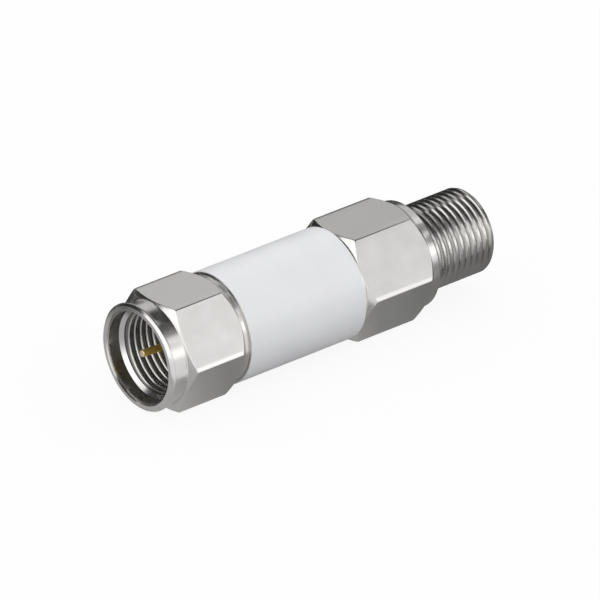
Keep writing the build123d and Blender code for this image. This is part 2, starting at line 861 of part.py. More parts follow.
# Solder: a mound along each signal tail, open under the line on which the tail lies, and a wedge at
# each corner where the board meets a body
with BuildPart() as solder_joints:
    for start, length in (
        (pin_tail_end - pin_tail_length / 2, pin_tail_length / 2 + pad_margin),
        (contact_pad_start, contact_tail_length / 2 + pad_margin),
    ):
        with BuildSketch(Plane.YZ.offset(start)):
            with BuildLine():
                Polyline(
                    (-track_width / 2, copper_top),
                    (track_width / 2, copper_top),
                    (pin_radius + solder_height / 2, 0),
                    (pin_radius / 2, pin_radius + solder_height),
                    (-pin_radius / 2, pin_radius + solder_height),
                    (-pin_radius - solder_height / 2, 0),
                    close=True,
                )
            make_face()
        extrude(amount=length)
    for start, length in ((board_front, pin_tail_length), (board_rear, -contact_tail_length)):
        with BuildSketch(Plane.YZ.offset(start)):
            Circle(pin_radius)
            with Locations((0, copper_top / 2)):
                Rectangle(pin_radius, -copper_top)
        extrude(amount=length, mode=Mode.SUBTRACT)
    for side in (-1, 1):
        with BuildSketch(Plane.XZ.offset(-side * side_row - solder_wedge_length / 2)):
            with BuildLine():
                Polyline(
                    (plug_rear, board_top),
                    (plug_rear + solder_wedge, board_top),
                    (plug_rear, board_top + solder_wedge),
                    close=True,
                )
            make_face()
        extrude(amount=solder_wedge_length)
solder_joints.part.label = "solder_joints"
export_step(solder_joints.part, "parts/solder_joints.step")
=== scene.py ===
import json
from math import atan2, cos, degrees, hypot, radians, sin

import bmesh
import bpy
from mathutils import Matrix, Vector


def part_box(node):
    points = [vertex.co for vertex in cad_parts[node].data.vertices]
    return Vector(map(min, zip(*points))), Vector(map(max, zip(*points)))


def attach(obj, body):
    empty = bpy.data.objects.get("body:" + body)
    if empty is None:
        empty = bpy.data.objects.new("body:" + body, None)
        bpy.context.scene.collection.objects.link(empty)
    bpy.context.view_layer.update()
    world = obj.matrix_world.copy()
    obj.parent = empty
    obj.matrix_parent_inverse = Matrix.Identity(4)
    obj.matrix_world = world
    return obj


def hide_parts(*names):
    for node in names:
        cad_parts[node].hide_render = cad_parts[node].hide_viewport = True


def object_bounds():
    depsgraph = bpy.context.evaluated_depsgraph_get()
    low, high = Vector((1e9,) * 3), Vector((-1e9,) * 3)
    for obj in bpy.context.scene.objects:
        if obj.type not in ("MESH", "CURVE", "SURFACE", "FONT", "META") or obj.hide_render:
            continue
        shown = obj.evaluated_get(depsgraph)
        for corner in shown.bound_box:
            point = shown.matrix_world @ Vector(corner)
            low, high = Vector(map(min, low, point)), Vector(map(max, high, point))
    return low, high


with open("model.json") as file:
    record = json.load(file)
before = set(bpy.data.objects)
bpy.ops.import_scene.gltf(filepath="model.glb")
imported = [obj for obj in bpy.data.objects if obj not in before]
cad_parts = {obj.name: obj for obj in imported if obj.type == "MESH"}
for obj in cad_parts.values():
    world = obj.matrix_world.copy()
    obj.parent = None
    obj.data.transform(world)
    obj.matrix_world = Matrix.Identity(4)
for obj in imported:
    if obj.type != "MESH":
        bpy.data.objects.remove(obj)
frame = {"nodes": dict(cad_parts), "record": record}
cad_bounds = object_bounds()


# Camera
# A long lens far away, as small metal parts are photographed, looking down on the plug end from
# the front left. Its directions and its place follow the photograph.
scene = bpy.context.scene
camera_place = Vector((-0.7475, -0.9491, 0.6112))
camera_lens = 777
camera_clip_end = 30
towards_camera = Vector((-0.5517, -0.7010, 0.4519)).normalized()
across_view = Vector((0.7765, -0.6295, -0.0286))
across_view = (across_view - across_view.project(towards_camera)).normalized()
up_view = towards_camera.cross(across_view)
camera = bpy.data.objects.new("photo_camera", bpy.data.cameras.new("photo_camera"))
scene.collection.objects.link(camera)
camera.data.lens = camera_lens
camera.data.clip_end = camera_clip_end
camera_turn = Matrix((across_view, up_view, towards_camera)).transposed().to_4x4()
camera.matrix_world = Matrix.Translation(camera_place) @ camera_turn
scene.camera = camera


# Studio floor
# A wide sheet of white paper that the amplifier lies on, with only a soft shadow under it. It
# throws less light back up than it shows, so that the underside of the label turns grey.
def place(tree, kind, inputs=None, **settings):
    """A new node with its settings made and its inputs set or linked."""
    node = tree.nodes.new(kind)
    for name, value in settings.items():
        setattr(node, name, value)
    for name, value in (inputs or {}).items():
        if isinstance(value, bpy.types.NodeSocket):
            tree.links.new(value, node.inputs[name])
        else:
            node.inputs[name].default_value = value
    return node


def worked(tree, operation, first, second):
    """The result of one sum on two sockets or numbers."""
    return place(tree, "ShaderNodeMath", {0: first, 1: second}, operation=operation).outputs[0]


def mixed(tree, share, first, second):
    """A colour that goes from the first to the second with a share, each a colour or a socket."""
    ends = [end if isinstance(end, bpy.types.NodeSocket) else (*end, 1) for end in (first, second)]
    colours = {"Factor": share, 6: ends[0], 7: ends[1]}
    return place(tree, "ShaderNodeMix", colours, data_type="RGBA").outputs[2]


def empty_material(name):
    """A new material and its node tree, with nothing in it yet."""
    material = bpy.data.materials.new(name)
    material.use_nodes = True
    material.node_tree.nodes.clear()
    return material, material.node_tree


def four_cornered(name, corners):
    """A flat sheet between four corners, in metres."""
    mesh = bpy.data.meshes.new(name)
    mesh.from_pydata([tuple(corner) for corner in corners], [], [(0, 1, 2, 3)])
    sheet = bpy.data.objects.new(name, mesh)
    scene.collection.objects.link(sheet)
    return sheet


floor_reach = 3.0
floor_height = cad_bounds[0][2]
paper_shown = (0.88, 0.88, 0.88)
paper_thrown_back = (0.52, 0.52, 0.52)
paper_glow_share = 0.9
floor_sides = ((-1, -1), (1, -1), (1, 1), (-1, 1))
floor_corners = [(x * floor_reach, y * floor_reach, floor_height) for x, y in floor_sides]
floor = four_cornered("studio_floor", floor_corners)
paper, tree = empty_material("white_paper_floor")
rays = place(tree, "ShaderNodeLightPath")
seen = worked(tree, "MAXIMUM", rays.outputs["Is Camera Ray"], rays.outputs["Is Transmission Ray"])
glow_share = worked(tree, "MULTIPLY", seen, paper_glow_share)
paper_tone = mixed(tree, rays.outputs["Is Diffuse Ray"], paper_shown, paper_thrown_back)
diffuse = place(tree, "ShaderNodeBsdfDiffuse", {"Color": paper_tone})
glow = place(tree, "ShaderNodeEmission", {"Color": (1, 1, 1, 1), "Strength": 1.0})
both = place(tree, "ShaderNodeMixShader", {0: glow_share, 1: diffuse.outputs[0], 2: glow.outputs[0]})
place(tree, "ShaderNodeOutputMaterial", {"Surface": both.outputs[0]})
floor.data.materials.append(paper)


# Studio light
# An even white room, one wide soft lamp in front, and the toned cards that a photographer stands
# round bright metal and lays on the table beside it, so that its edges and its flats show. Dark
# cards under it are painted shadow.
world = bpy.data.worlds.new("white_room")
world.use_nodes = True
world.node_tree.nodes["Background"].inputs["Color"].default_value = (1, 1, 1, 1)
world.node_tree.nodes["Background"].inputs["Strength"].default_value = 1.0
scene.world = world
scene.view_settings.view_transform = "Standard"


def aimed(azimuth, elevation, distance):
    """A point that far off in a direction, azimuth from +X towards +Y, in degrees."""
    a, e = radians(azimuth), radians(elevation)
    return Vector((cos(e) * cos(a), cos(e) * sin(a), sin(e))) * distance


def soft_lamp(name, azimuth, elevation, distance, size, power):
    """A square lamp that faces the amplifier."""
    data = bpy.data.lights.new(name, "AREA")
    data.shape = "SQUARE"
    data.size = size
    data.energy = power
    lamp = bpy.data.objects.new(name, data)
    lamp.location = aimed(azimuth, elevation, distance)
    lamp.rotation_euler = lamp.location.to_track_quat("Z", "Y").to_euler()
    scene.collection.objects.link(lamp)


def toned_card(name, corners, tone):
    """A card that only the metal's reflections see."""
    card = four_cornered(name, corners)
    material, tree = empty_material(name)
    shade = place(tree, "ShaderNodeEmission", {"Color": (tone, tone, tone, 1), "Strength": 1.0})
    place(tree, "ShaderNodeOutputMaterial", {"Surface": shade.outputs[0]})
    card.data.materials.append(material)
    card.visible_camera = False
    card.visible_diffuse = False
    card.visible_shadow = False
    card.visible_transmission = False
    return card


def standing_card(name, azimuths, elevations, distance, tone):
    """A card that fills the given span of directions."""
    (left, right), (low, high) = azimuths, elevations
    corners = [aimed(left, low, distance), aimed(right, low, distance)]
    corners += [aimed(right, high, distance), aimed(left, high, distance)]
    toned_card(name, corners, tone)


soft_lamp("front_lamp", azimuth=-75, elevation=38, distance=1.2, size=0.7, power=1.2)

overhead_corners = (-60, 30, 120, 210)
overhead_elevation = 42
overhead_distance = 0.8
overhead_tone = 0.04
toned_card(
    "overhead_card",
    [aimed(azimuth, overhead_elevation, overhead_distance) for azimuth in overhead_corners],
    overhead_tone,
)

# Name, azimuths from left to right, elevations from low to high, distance and tone of each card
standing_cards = (
    ("back_card", (95, 15), (14, 41), 1.0, 0.68),
    ("back_left_card", (148, 96), (0, 41), 1.0, 0.03),
    ("back_low_card", (96, 5), (0, 14), 0.95, 0.05),
    ("front_low_card", (-75, -25), (2, 17), 1.0, 1.5),
    ("front_middle_card", (-80, -38), (17, 29), 1.1, 0.87),
    ("front_side_card", (-38, -15), (17, 29), 1.1, 0.25),
    ("right_end_card", (-24, 5), (0, 29), 1.05, 0.08),
    ("front_high_card", (-100, -5), (29, 60), 1.1, 0.28),
    ("left_card_behind", (190, 148), (1, 42), 1.0, 1.5),
    ("left_card_before", (226, 190), (1, 42), 1.0, 1.5),
    ("left_gap_card", (193, 180), (8, 21), 0.95, 0.12),
)
for name, azimuths, elevations, distance, tone in standing_cards:
    standing_card(name, azimuths, elevations, distance, tone)

mm = 0.001
card_lift = 0.1 * mm


def object_place(tree):
    """Where a shaded point lies in its own piece."""
    return place(tree, "ShaderNodeTexCoord").outputs["Object"]


def on_floor(x, y):
    """A place just above the floor, from millimetres."""
    return (x * mm, y * mm, floor_height + card_lift)


def floor_card(name, left, right, near, far, *tones):
    """A card on the floor between two places each way, in millimetres, with its tones spread evenly
    along X."""
    corners = [on_floor(x, y) for x, y in ((left, near), (right, near), (right, far), (left, far))]
    card = toned_card(name, corners, tones[0])
    if len(tones) == 1:
        return
    tree = card.data.materials[0].node_tree
    along = place(tree, "ShaderNodeSeparateXYZ", {0: object_place(tree)}).outputs[0]
    share = place(tree, "ShaderNodeMapRange", {"Value": along, "From Min": left * mm, "From Max": right * mm})
    ramp = place(tree, "ShaderNodeValToRGB", {0: share.outputs[0]})
    stops = ramp.color_ramp.elements
    for k, tone in enumerate(tones):
        end = k in (0, len(tones) - 1)
        stop = stops[-1 if k else 0] if end else stops.new(k / (len(tones) - 1))
        stop.color = (tone, tone, tone, 1)
    tree.links.new(ramp.outputs[0], tree.nodes["Emission"].inputs["Color"])


# Painted shadow: dark cards under the amplifier, mostly darker towards the socket end, stand in for its
# shadow on the floor where its metal reflects it
under_left, under_right, under_near, under_far = -24, 24, -11, 12
under_shadow_tones = (0.46, 0.46, 0.34, 0.25, 0.3, 0.3, 0.36, 0.4, 0.29, 0.26, 0.21, 0.21, 0.21)
floor_card("painted_shadow_under_card", under_left, under_right, under_near, under_far, *under_shadow_tones)
floor_card("painted_shadow_right_card", under_right, 60, under_near, under_far, under_shadow_tones[-1])
floor_card("left_floor_card", -80, under_left, -12, 24, 0.48)
floor_card("back_floor_card", -400, under_left, 24, 500, 0.05)
floor_card("back_right_floor_card", under_left, 400, under_far, 500, 0.05)

port_card_corners = ((18.7, -11), (91, -11), (111, -40), (38.7, -40))
port_card_tone = 0.27
toned_card("port_floor_card", [on_floor(x, y) for x, y in port_card_corners], port_card_tone)


# Coupling nut
# The loose six-sided nut, turned from drawn hexagon bar and plated with bright nickel. Its front
# ends in a round rim, it is threaded inside, and its rear wall runs on the plug body's ring.
ease_steps = 3
longest_ease_share = 0.45


def eased(corners):
    """Rounds each (x, radius, ease, tag) corner of a closed outline over its ease."""
    outline = []
    for i, (x, r, ease, tag) in enumerate(corners):
        if not ease:
            outline.append((x, r, tag))
            continue
        here = Vector((x, r))
        sides = [Vector(corners[(i + step) % len(corners)][:2]) - here for step in (-1, 1)]
        before, after = (
            here + side.normalized() * min(ease, side.length * longest_ease_share) for side in sides
        )
        for k in range(ease_steps + 1):
            t = k / ease_steps
            point = before * (1 - t) ** 2 + here * 2 * t * (1 - t) + after * t ** 2
            outline.append((point.x, point.y, tag))
    return outline


def hexagon_round(apothem, edge_radius, curl_radius, curl, flat_steps):
    """One turn round a hexagon bar as (angle, reach) pairs, in degrees from its top flat. Its edges are
    rounded, and beside them the flats curl over a little more gently, by the curl in degrees."""
    tight = 30 - curl

    def corner_point(turn):
        """A point of the rounded edge, that many degrees from the edge's middle."""
        small, large = radians(min(turn, tight)), radians(max(turn, tight))
        first, last = radians(tight), radians(30)
        out = edge_radius * (1 - cos(first)) - curl_radius * (cos(last) - cos(first))
        side = edge_radius * sin(first) + curl_radius * (sin(last) - sin(first))
        reach = (apothem - side * sin(last)) / cos(last) + out
        u = reach - edge_radius * (1 - cos(small)) + curl_radius * (cos(large) - cos(first))
        v = edge_radius * sin(small) + curl_radius * (sin(large) - sin(first))
        return degrees(atan2(v, u)), hypot(u, v)

    corner = [corner_point(tight + curl * k / 3) for k in (3, 2, 1)]
    corner += [corner_point(tight * k / 2) for k in (2, 1)]
    half = corner[0][0]
    turn = []
    for side in range(6):
        middle = 30 + 60 * side
        turn += [(middle - angle, reach) for angle, reach in corner]
        turn += [(middle + angle, reach) for angle, reach in [corner_point(0)] + corner[::-1]]
        for k in range(1, flat_steps):
            angle = half + (60 - 2 * half) * k / flat_steps
            turn.append((middle + angle, apothem / cos(radians(30 - angle))))
    return turn + [(turn[0][0] + 360, turn[0][1])]


merge_distance = 0.00002 * mm
shortest_edge = 0.00001 * mm
crease_angle = 38
closing_slack = 0.01


def turned_piece(name, outline_at, turn, materials, body, node):
    """A closed skin through the outline at each step of a turn, riding on its body in its node's place."""
    angles = [angle for angle, reach in turn]
    rings = [outline_at(angle, reach) for angle, reach in turn]
    count = len(rings[0])
    shape = bmesh.new()
    places = [
        [shape.verts.new((x, -r * sin(radians(angle)), r * cos(radians(angle)))) for x, r, tag in ring]
        for angle, ring in zip(angles, rings)
    ]
    for this, following, ring in zip(places, places[1:], rings):
        for j in range(count):
            k = (j + 1) % count
            face = shape.faces.new((this[j], this[k], following[k], following[j]))
            face.material_index = ring[j][2]
    if abs(angles[-1] - angles[0] - 360) > closing_slack:
        shape.faces.new(places[0])
        shape.faces.new(places[-1])
    bmesh.ops.remove_doubles(shape, verts=shape.verts, dist=merge_distance)
    bmesh.ops.dissolve_degenerate(shape, edges=shape.edges, dist=shortest_edge)
    bmesh.ops.recalc_face_normals(shape, faces=shape.faces)
    mesh = bpy.data.meshes.new(name)
    shape.to_mesh(mesh)
    shape.free()
    mesh.shade_smooth()
    mesh.set_sharp_from_angle(angle=radians(crease_angle))
    piece = bpy.data.objects.new(name, mesh)
    scene.collection.objects.link(piece)
    for material in materials:
        mesh.materials.append(material)
    piece.modifiers.new("even_normals", "WEIGHTED_NORMAL").keep_sharp = True
    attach(piece, body)
    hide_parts(node)
    return piece


def node_group(name, inputs, outputs):
    """A new node group with its input and output nodes."""
    group = bpy.data.node_groups.new(name, "ShaderNodeTree")
    for label, value in inputs:
        socket = group.interface.new_socket(label, in_out="INPUT", socket_type="NodeSocketFloat")
        socket.default_value = value
    for label in outputs:
        group.interface.new_socket(label, in_out="OUTPUT", socket_type="NodeSocketFloat")
    return group, group.nodes.new("NodeGroupInput"), group.nodes.new("NodeGroupOutput")


def noise(tree, vector, scale, detail, roughness=0.5):
    """The value of a noise pattern."""
    pattern = {"Vector": vector, "Scale": scale, "Detail": detail, "Roughness": roughness}
    return place(tree, "ShaderNodeTexNoise", pattern).outputs[0]


# The rings that a lathe tool leaves, a mottle over them, and the distance from the axis
ring_drift = 0.012
lathe_marks, given, result = node_group("lathe_marks", [("Fineness", 9000)], ["Height", "Mottle", "Radius"])
at = object_place(lathe_marks)
axes = place(lathe_marks, "ShaderNodeSeparateXYZ", {0: at}).outputs
out = place(lathe_marks, "ShaderNodeCombineXYZ", {1: axes[1], 2: axes[2]}).outputs[0]
radius = place(lathe_marks, "ShaderNodeVectorMath", {0: out}, operation="LENGTH").outputs["Value"]
drifted = worked(lathe_marks, "ADD", radius, worked(lathe_marks, "MULTIPLY", axes[1], ring_drift))
lifted = worked(lathe_marks, "MULTIPLY", axes[2], ring_drift)
ringed = place(lathe_marks, "ShaderNodeCombineXYZ", {0: axes[0], 1: drifted, 2: lifted}).outputs[0]
rings = noise(lathe_marks, ringed, given.outputs[0], 3.0, 0.6)
patches = noise(lathe_marks, at, 420.0, 4.0, 0.55)
lathe_marks.links.new(rings, result.inputs["Height"])
lathe_marks.links.new(patches, result.inputs["Mottle"])
lathe_marks.links.new(radius, result.inputs["Radius"])

# The long lines that a drawing die leaves, and a mottle over them
line_squeeze = (0.035, 1, 1)
drawn_marks, given, result = node_group("drawn_marks", [("Fineness", 5200)], ["Height", "Mottle"])
at = object_place(drawn_marks)
drawn = place(drawn_marks, "ShaderNodeVectorMath", {0: at, 1: line_squeeze}, operation="MULTIPLY")
lines = noise(drawn_marks, drawn.outputs[0], given.outputs[0], 3.0, 0.65)
patches = noise(drawn_marks, at, 300.0, 5.0, 0.6)
drawn_marks.links.new(lines, result.inputs["Height"])
drawn_marks.links.new(patches, result.inputs["Mottle"])


noise_low, noise_high = 0.3, 0.7


def spread(tree, value, low, high):
    """Spreads the middle of a noise, where nearly all of it lies, between two values."""
    limits = {"From Min": noise_low, "From Max": noise_high, "To Min": low, "To Max": high}
    return place(tree, "ShaderNodeMapRange", {"Value": value, **limits}).outputs[0]


def surfaced(tree, colour, roughness, height, depth, metallic=0.0):
    """Ends a material in a surface with its colour, roughness and fine relief."""
    relief = place(tree, "ShaderNodeBump", {"Height": height, "Strength": 1.0, "Distance": depth}).outputs[0]
    looks = {"Base Color": colour, "Metallic": metallic, "Roughness": roughness, "Normal": relief}
    surface = place(tree, "ShaderNodeBsdfPrincipled", looks)
    place(tree, "ShaderNodeOutputMaterial", {"Surface": surface.outputs[0]})
    return surface


mottle_share = 0.7
mark_share = 0.3
shade_dulling = 0.15


def plated_metal(name, marks, fineness, dark, light, smooth, rough, depth, painted_shade=None):
    """Bright plate that shows the tool marks under it, with a little dulling in patches. Given painted shade,
    the plate turns to the shade colour and grows duller between an unshaded and a fully shaded radius."""
    material, tree = empty_material(name)
    worn = place(tree, "ShaderNodeGroup", {"Fineness": fineness}, node_tree=marks).outputs
    colour = mixed(tree, worn["Mottle"], dark, light)
    mottled = worked(tree, "MULTIPLY", worn["Mottle"], mottle_share)
    dulling = worked(tree, "ADD", mottled, worked(tree, "MULTIPLY", worn["Height"], mark_share))
    # Painted shade: a darker colour and a duller finish towards the thread roots, between two radii
    if painted_shade:
        unshaded_radius, shaded_radius, shade_colour = painted_shade
        limits = {"Value": worn["Radius"], "From Min": unshaded_radius, "From Max": shaded_radius}
        share = place(tree, "ShaderNodeMapRange", limits).outputs[0]
        dulling = worked(tree, "ADD", dulling, worked(tree, "MULTIPLY", share, shade_dulling))
        colour = mixed(tree, share, colour, shade_colour)
    surfaced(tree, colour, spread(tree, dulling, smooth, rough), worn["Height"], depth, metallic=1.0)
    return material


nut_low, nut_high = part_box("coupling_nut")
ring_low, ring_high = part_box("retaining_ring")
nut_front, nut_rear, hex_apothem = nut_low.x, nut_high.x, nut_high.z
hex_corner = hex_apothem / cos(radians(30))
hex_edge_radius = 0.18 * mm
hex_curl_radius = 3.2 * mm
hex_curl = 9
hex_flat_steps = 9
thread_pitch = 0.794 * mm
port_mount = frame["record"]["mounts"][0]
thread_radius = port_mount["dims"]["r_mm"] * mm

nut_rim_radius = hex_apothem - 0.05 * mm
nut_rim_bevel = 0.3 * mm
nut_rim_end = nut_front + 0.45 * mm
nut_rim_step = 0.1 * mm
nut_collar_radius = hex_apothem - 0.2 * mm
nut_hex_front = nut_front + 2.14 * mm
nut_cone_length = 0.52 * mm
nut_cone_slope = (hex_corner - nut_collar_radius) / nut_cone_length
nut_rear_cone_end = nut_rear - 0.6 * mm
nut_skirt_reach = 0.045 * mm
nut_rear_collar_radius = hex_apothem - 0.05 * mm
nut_skirt_end = nut_rear + nut_skirt_reach
nut_bore_radius = 3.98 * mm
nut_groove_radius = ring_high.z + 0.08 * mm
nut_groove_play = 0.05 * mm
nut_groove_front = ring_low.x - nut_groove_play
nut_groove_rear = ring_high.x + nut_groove_play
nut_wall_front = nut_rear - 2.5 * mm
nut_major_radius = thread_radius + 0.075 * mm
nut_minor_radius = nut_major_radius - 0.48 * thread_pitch
nut_mouth_radius = nut_major_radius + 0.25 * mm
nut_mouth_flare = 0.2 * mm
nut_flare_end = nut_front + 0.33 * mm
nut_mouth_end = nut_front + 1.62 * mm
nut_lead_in = 0.39 * mm
nut_thread_start = nut_mouth_end + nut_lead_in
nut_thread_turn = -0.08

# A thread's form over one pitch, as pairs of a share of the pitch and a share of the depth
nut_thread_form = (
    (0.05, 0.0), (0.1, 0.08), (0.21, 0.5), (0.32, 0.93), (0.36, 1.0),
    (0.64, 1.0), (0.68, 0.93), (0.79, 0.5), (0.9, 0.08), (0.95, 0.0),
)

# How far the corners of the turned outlines are eased
crisp_edge = 0.02 * mm
step_edge = 0.04 * mm
turned_edge = 0.05 * mm
cone_edge = 0.06 * mm
milled_edge = 0.07 * mm
wide_edge = 0.1 * mm

# Which finish a face of a turned piece has
TURNED, FLAT, THREAD, MOUTH = 0, 1, 2, 3


def thread_height(form, phase):
    """The height share of a thread form at a share of its pitch."""
    phase %= 1
    points = [(form[-1][0] - 1, form[-1][1])] + list(form) + [(form[0][0] + 1, form[0][1])]
    for (a, low), (b, high) in zip(points, points[1:]):
        if a <= phase <= b:
            return low + (high - low) * (phase - a) / (b - a)
    return 0.0


def thread_outline(form, start, end, root, crest, angle, shift=0.0):
    """The points of a thread between two places at one angle, one pitch further on after each turn."""
    turn = angle / 360 + shift
    points = []
    for step in range(-2, int((end - start) / thread_pitch) + 2):
        for share, height in form:
            x = start + (step + share + turn) * thread_pitch
            if not start < x < end:
                x = min(max(x, start), end)
                height = thread_height(form, (x - start) / thread_pitch - turn)
            points.append((x, root + (crest - root) * height, THREAD))
    return points


def nut_outline(angle, reach):
    """The nut's section: its outside and groove, its thread, and its mouth."""
    front_cone_end = nut_hex_front + (reach - nut_collar_radius) / nut_cone_slope
    rear_cone_start = nut_rear_cone_end - (reach - nut_rear_collar_radius)
    skin = eased([
        (nut_front, nut_rim_radius - nut_rim_bevel, step_edge, TURNED),
        (nut_front + nut_rim_bevel, nut_rim_radius, turned_edge, TURNED),
        (nut_rim_end, nut_rim_radius, turned_edge, TURNED),
        (nut_rim_end + nut_rim_step, nut_collar_radius, step_edge, TURNED),
        (nut_hex_front, nut_collar_radius, turned_edge, TURNED),
        (front_cone_end, reach, milled_edge, FLAT),
        (rear_cone_start, reach, milled_edge, TURNED),
        (nut_rear_cone_end, nut_rear_collar_radius, cone_edge, TURNED),
        (nut_skirt_end, nut_rear_collar_radius, crisp_edge, TURNED),
        (nut_skirt_end, nut_bore_radius, wide_edge, TURNED),
        (nut_groove_rear, nut_bore_radius, 0, TURNED),
        (nut_groove_rear, nut_groove_radius, 0, TURNED),
        (nut_groove_front, nut_groove_radius, 0, TURNED),
        (nut_groove_front, nut_bore_radius, 0, TURNED),
        (nut_wall_front, nut_bore_radius, turned_edge, TURNED),
    ])
    thread = thread_outline(
        nut_thread_form, nut_thread_start, nut_wall_front, nut_minor_radius, nut_major_radius, angle,
        shift=nut_thread_turn,
    )
    led_in = [(x, max(r, nut_mouth_radius - (x - nut_mouth_end)), tag) for x, r, tag in thread]
    mouth = [
        (nut_thread_start, nut_mouth_radius - nut_lead_in, TURNED),
        (nut_mouth_end, nut_mouth_radius, MOUTH),
        (nut_flare_end, nut_mouth_radius, TURNED),
        (nut_front, nut_mouth_radius + nut_mouth_flare, TURNED),
    ]
    return skin + led_in[::-1] + mouth


nickel_dark, nickel_light = (0.66, 0.65, 0.63), (0.78, 0.77, 0.755)
turned_nickel = plated_metal(
    "turned_nickel", lathe_marks, fineness=9000, dark=nickel_dark, light=nickel_light,
    smooth=0.17, rough=0.27, depth=0.0012 * mm,
)
drawn_nickel = plated_metal(
    "drawn_nickel_flats", drawn_marks, fineness=5200, dark=nickel_dark, light=nickel_light,
    smooth=0.17, rough=0.27, depth=0.0016 * mm,
)
# Painted shade: the nut's inner thread darkens towards its roots, and the mouth inside the nut has a dark
# colour
nut_groove_shade = (0.23, 0.215, 0.2)
shaded_inner_thread = plated_metal(
    "shade_painted_inner_thread", lathe_marks, fineness=14000, dark=nickel_dark, light=(0.82, 0.81, 0.79),
    smooth=0.16, rough=0.3, depth=0.0008 * mm,
    painted_shade=(nut_minor_radius + 0.04 * mm, nut_minor_radius + 0.16 * mm, nut_groove_shade),
)
shaded_nut_mouth = plated_metal(
    "shade_painted_nut_mouth", lathe_marks, fineness=9000, dark=(0.2, 0.19, 0.17), light=(0.5, 0.48, 0.45),
    smooth=0.2, rough=0.38, depth=0.002 * mm,
)
nut_finishes = [turned_nickel, drawn_nickel, shaded_inner_thread, shaded_nut_mouth]
hexagon_turn = hexagon_round(hex_apothem, hex_edge_radius, hex_curl_radius, hex_curl, hex_flat_steps)
turned_piece("nut_shell", nut_outline, hexagon_turn, nut_finishes, "nut", "coupling_nut")


# Socket body
# The other end, turned and milled from one hexagon bar: a spigot pressed in the tube, the large
# hexagon for the spanner, a round collar and the threaded port with a rolled lip. Nickel plated.
socket_low, socket_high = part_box("socket_body")
tube_low, tube_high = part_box("housing_tube")
face_bead_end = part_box("face_insulator")[1].x
rear_bead_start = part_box("rear_insulator")[0].x
port_middle, port_half = port_mount["pos_m"][0], port_mount["dims"]["length_mm"] * mm / 2
port_start, port_tip, port_end = port_middle - port_half, port_middle + port_half, socket_high.x

spigot_radius = tube_high.z - 0.62 * mm
cavity_radius = spigot_radius - 0.98 * mm
cavity_end = rear_bead_start - 0.95 * mm
contact_hole_radius = 2.2 * mm
body_hex_front = tube_high.x
body_front_radius = hex_apothem - 0.02 * mm
body_front_land = 0.03 * mm
body_front_chamfer = 0.75 * mm
body_front_slope = (hex_corner - hex_apothem) / body_front_chamfer
body_cone_end = port_start - 0.95 * mm
body_collar_radius = hex_apothem - 0.03 * mm
body_collar_end_radius = body_collar_radius - 0.06 * mm
port_land_start = port_start + 0.45 * mm
port_land_end = port_tip - 0.25 * mm
port_root_radius = thread_radius - 0.41 * thread_pitch
port_tip_radius = thread_radius - 0.1 * mm
port_bore_radius = thread_radius - 1.32 * mm
port_lip_radius = port_bore_radius - 0.4 * mm
port_thread_form = ((0.04, 0.0), (0.33, 1.0), (0.67, 1.0), (0.96, 0.0))
thin_edge = 0.03 * mm
end_edge = 0.08 * mm
lip_edge = 0.12 * mm


def socket_outline(angle, reach):
    """The section of the socket body: its hexagon and collar, its thread, and its bores."""
    chamfer_end = body_hex_front + (reach - hex_apothem + body_front_land) / body_front_slope
    cone_start = body_cone_end - (reach - body_collar_radius)
    before = eased([
        (socket_low.x, spigot_radius, end_edge, TURNED),
        (body_hex_front, spigot_radius, 0, TURNED),
        (body_hex_front, body_front_radius, thin_edge, TURNED),
        (chamfer_end, reach, milled_edge, FLAT),
        (cone_start, reach, milled_edge, TURNED),
        (body_cone_end, body_collar_radius, cone_edge, TURNED),
        (port_start, body_collar_end_radius, wide_edge, TURNED),
        (port_start, thread_radius, turned_edge, THREAD),
        (port_land_start, thread_radius, thin_edge, THREAD),
    ])
    thread = thread_outline(
        port_thread_form, port_land_start, port_land_end, port_root_radius, thread_radius, angle
    )
    after = eased([
        (port_land_end, thread_radius, step_edge, TURNED),
        (port_tip, port_tip_radius, turned_edge, TURNED),
        (port_end, port_tip_radius - (port_end - port_tip), end_edge, TURNED),
        (port_end, port_lip_radius, lip_edge, TURNED),
        (face_bead_end, port_lip_radius, 0, TURNED),
        (face_bead_end, port_bore_radius, 0, TURNED),
        (rear_bead_start, port_bore_radius, 0, TURNED),
        (rear_bead_start, contact_hole_radius, 0, TURNED),
        (cavity_end, contact_hole_radius, 0, TURNED),
        (cavity_end, cavity_radius, 0, TURNED),
        (socket_low.x, cavity_radius, 0, TURNED),
    ])
    return before + thread + after


body_flats = plated_metal(
    "drawn_nickel_body", drawn_marks, fineness=5200, dark=(0.595, 0.585, 0.57), light=(0.7, 0.695, 0.68),
    smooth=0.17, rough=0.27, depth=0.0016 * mm,
)
# Painted shade: the port's thread darkens towards its roots
port_groove_shade = (0.3, 0.29, 0.27)
threaded_nickel = plated_metal(
    "threaded_nickel", lathe_marks, fineness=14000, dark=(0.5, 0.49, 0.47), light=(0.74, 0.73, 0.715),
    smooth=0.14, rough=0.26, depth=0.0008 * mm,
    painted_shade=(port_root_radius + 0.06 * mm, port_root_radius + 0.01 * mm, port_groove_shade),
)
socket_finishes = [turned_nickel, body_flats, threaded_nickel]
turned_piece(
    "socket_shell", socket_outline, hexagon_turn, socket_finishes, "body", "socket_body"
)


# Housing tube
# A plain drawn brass tube that joins the two end bodies, nickel plated. The label covers it but
# for a narrow band before the large hexagon and the edge at the nut.
tube_inner_radius = tube_high.z - 0.6 * mm
round_turn = [(angle, 0) for angle in range(0, 361, 3)]


def tube_outline(angle, reach):
    """The wall of the tube."""
    return eased([
        (tube_low.x, tube_inner_radius, 0, TURNED),
        (tube_low.x, tube_high.z, crisp_edge, TURNED),
        (tube_high.x, tube_high.z, turned_edge, TURNED),
        (tube_high.x, tube_inner_radius, 0, TURNED),
    ])


